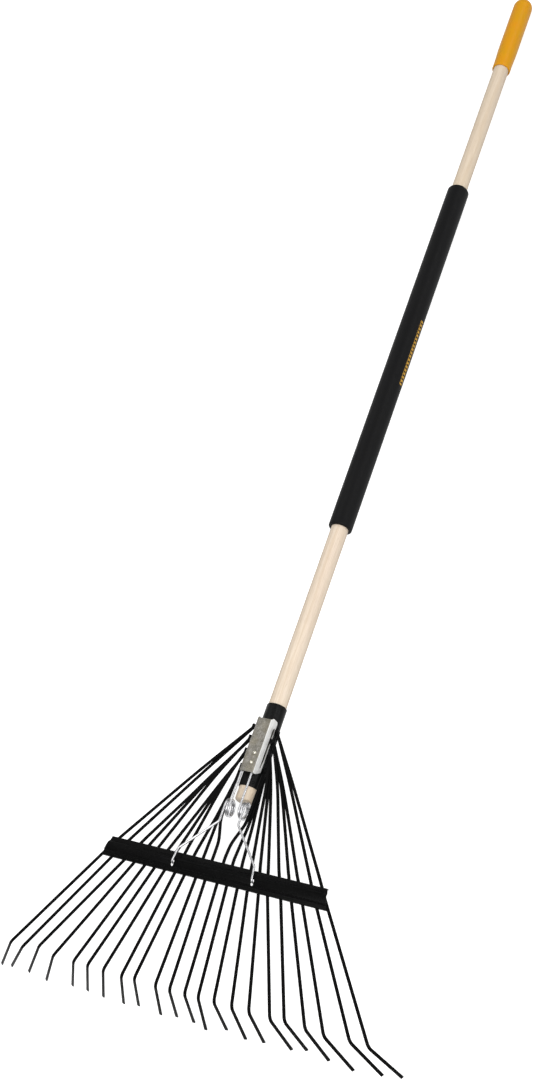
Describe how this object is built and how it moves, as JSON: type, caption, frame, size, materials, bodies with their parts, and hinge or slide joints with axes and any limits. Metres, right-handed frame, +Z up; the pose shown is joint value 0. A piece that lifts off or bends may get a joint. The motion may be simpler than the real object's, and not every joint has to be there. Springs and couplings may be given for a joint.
{
  "type": "leaf rake",
  "caption": "Spring-braced steel leaf rake with a fan of flat tines in a slotted bar, a wire brace with torsion coils, and a wooden handle with foam sleeve and soft end cap.",
  "frame": {"origin": "centre of the rake's footprint on the ground, at ground level, when it lies with its tine ends and end cap on the ground", "axes": "+Y along the length towards the end cap (the tines are at -Y), +X across the fan, +Z up away from the ground"},
  "size_m": [0.5426, 1.6922, 0.0729],
  "materials": {
    "wood": "pale clear-varnished hardwood, fine straight grain",
    "foam": "matt closed-cell foam sleeve with a plain printed stripe",
    "vinyl": "glossy dip-moulded soft vinyl",
    "black_paint": "semi-gloss black enamel on steel",
    "tine_enamel": "semi-gloss black enamel on flat spring steel",
    "galvanised": "dull zinc-coated sheet steel, mottled",
    "rivet_steel": "bright zinc-plated dome heads",
    "bright_wire": "bright plated spring wire"
  },
  "bodies": {
    "handle": {"handle_shaft": "wood", "foam_grip": "foam", "end_cap": "vinyl", "socket": "black_paint", "socket_nail": "black_paint", "brace_bracket": "galvanised", "bracket_rivets": "rivet_steel", "brace_wire": "bright_wire"},
    "head": {"tine_yoke": "black_paint", "spreader_bar": "black_paint", "tine_01": "tine_enamel", "tine_02": "tine_enamel", "tine_03": "tine_enamel", "tine_04": "tine_enamel", "tine_05": "tine_enamel", "tine_06": "tine_enamel", "tine_07": "tine_enamel", "tine_08": "tine_enamel", "tine_09": "tine_enamel", "tine_10": "tine_enamel", "tine_11": "tine_enamel", "tine_12": "tine_enamel", "tine_13": "tine_enamel", "tine_14": "tine_enamel", "tine_15": "tine_enamel", "tine_16": "tine_enamel", "tine_17": "tine_enamel", "tine_18": "tine_enamel", "tine_19": "tine_enamel", "tine_20": "tine_enamel", "tine_21": "tine_enamel", "tine_22": "tine_enamel"},
    "brace_legs": {"brace_leg_left": "bright_wire", "brace_leg_right": "bright_wire"}
  },
  "joints": [
    {"name": "head_flex", "type": "hinge", "parent": "handle", "child": "head", "pos_m": [-0.00297, -0.49888, 0.0565], "axis": [1, 0, 0], "range_deg": [-4, 3]},
    {"name": "brace_twist", "type": "hinge", "parent": "handle", "child": "brace_legs", "pos_m": [-0.00297, -0.59338, 0.05744], "axis": [1, 0, 0], "range_deg": [-8.7, 6.6]}
  ],
  "couplings": [
    {"joint": "brace_twist", "follows": "head_flex", "ratio": 2.1131}
  ]
}
